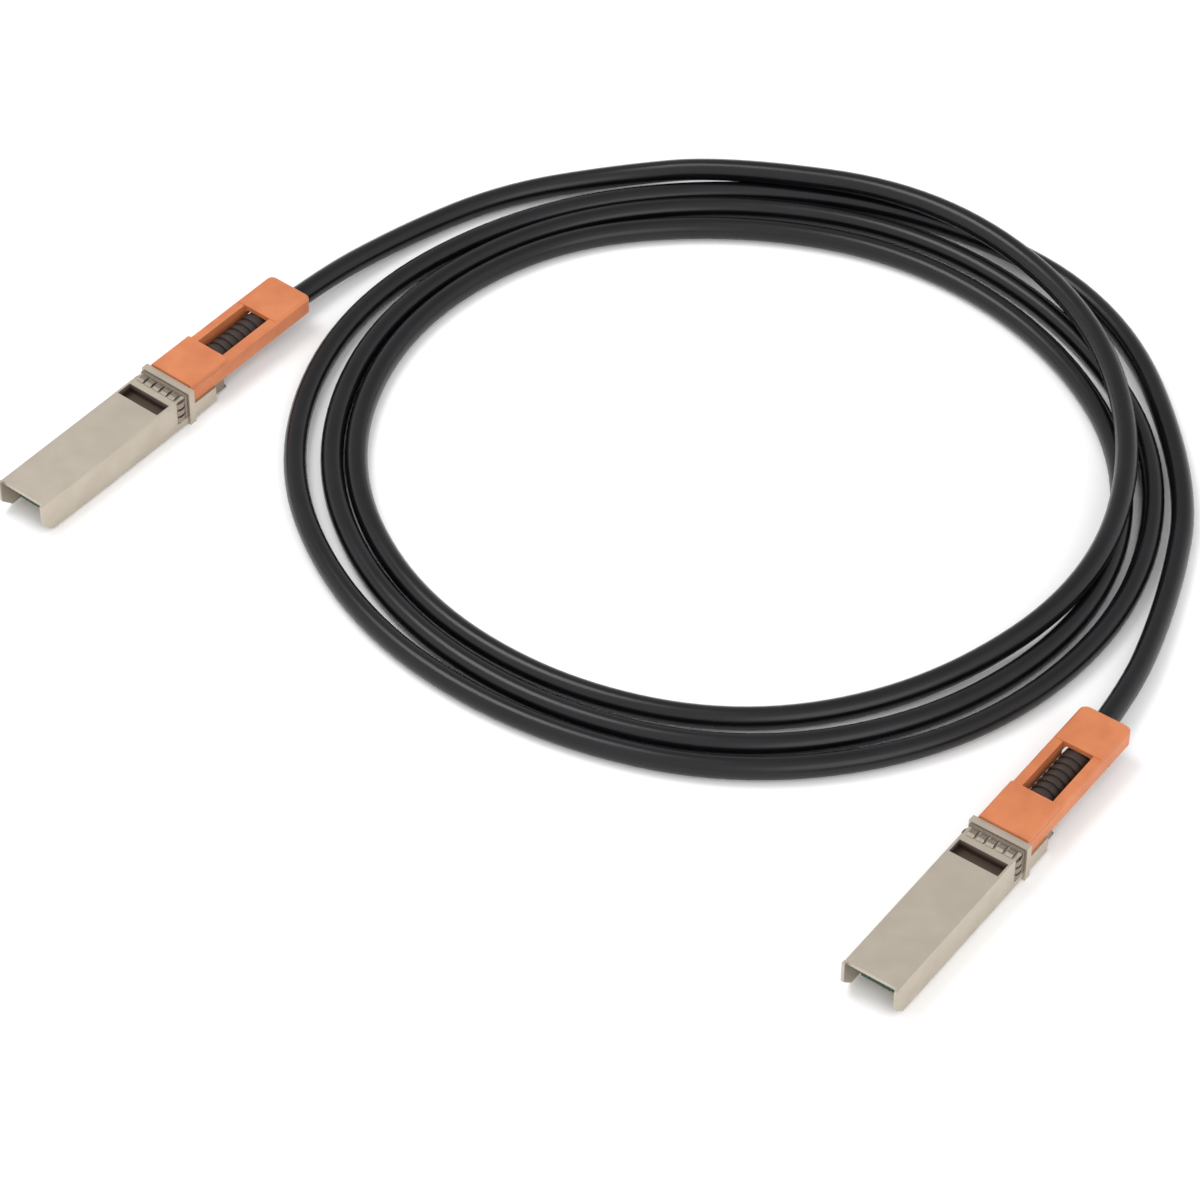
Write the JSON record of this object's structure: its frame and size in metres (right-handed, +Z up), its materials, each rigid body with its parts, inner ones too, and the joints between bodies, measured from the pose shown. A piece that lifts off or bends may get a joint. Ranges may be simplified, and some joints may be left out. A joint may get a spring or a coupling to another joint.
{
  "type": "direct attach copper cable",
  "caption": "Loose coil of round black cable with a flat metal pluggable module at each end, each with a sprung orange pull tab that draws back a latch slider.",
  "frame": {"origin": "on the surface that the part lies on, midway between the two plugs (the bottom centre of the plugs' own box, the free cable left out)", "axes": "+Z up from that surface; +X across the view from the far left plug to the near right one; +Y away from the viewer. From mating end to cable, plug a points 51.0 and plug b 53.8 degrees from +X towards +Y."},
  "size_m": [0.2666, 0.2651, 0.0102],
  "materials": {
    "cast_shell": "nickel-plated die casting, fine matt grain",
    "pin_steel": "turned steel",
    "circuit_board": "green solder mask on glass laminate",
    "gold_contact": "gold plating",
    "black_chip": "moulded epoxy",
    "foil_pair": "foil-wrapped conductor pairs",
    "potting": "hot-melt potting",
    "ferrule_brass": "tin-plated brass",
    "relief_rubber": "moulded elastomer",
    "spring_steel": "stamped stainless strip",
    "tab_plastic": "moulded orange polymer, satin",
    "jacket": "extruded black jacket, satin"
  },
  "bodies": {
    "cable": {"housing_a": "cast_shell", "cover_a": "cast_shell", "shell_pins_a": "pin_steel", "paddle_card_a": "circuit_board", "card_contacts_a": "gold_contact", "memory_chip_a": "black_chip", "twinax_pairs_a": "foil_pair", "wire_potting_a": "potting", "crimp_ferrule_a": "ferrule_brass", "strain_relief_a": "relief_rubber", "ground_collar_a": "spring_steel", "return_spring_a": "spring_steel", "housing_b": "cast_shell", "cover_b": "cast_shell", "shell_pins_b": "pin_steel", "paddle_card_b": "circuit_board", "card_contacts_b": "gold_contact", "memory_chip_b": "black_chip", "twinax_pairs_b": "foil_pair", "wire_potting_b": "potting", "crimp_ferrule_b": "ferrule_brass", "strain_relief_b": "relief_rubber", "ground_collar_b": "spring_steel", "return_spring_b": "spring_steel", "cable_tail_a": "jacket", "cable_tail_b": "jacket", "cable_coil": "jacket"},
    "tab_a": {"pull_tab_a": "tab_plastic", "latch_slider_a": "spring_steel"},
    "tab_b": {"pull_tab_b": "tab_plastic", "latch_slider_b": "spring_steel"}
  },
  "joints": [
    {"name": "tab_a_pull", "type": "slide", "parent": "cable", "child": "tab_a", "axis": [0.6293, 0.7771, 0], "range_m": [0, 0.0025], "stiffness_N_per_m": 600, "springref_m": -0.0005, "deforming": ["return_spring_a"]},
    {"name": "tab_b_pull", "type": "slide", "parent": "cable", "child": "tab_b", "axis": [0.5906, 0.807, 0], "range_m": [0, 0.0025], "stiffness_N_per_m": 600, "springref_m": -0.0005, "deforming": ["return_spring_b"]}
  ]
}
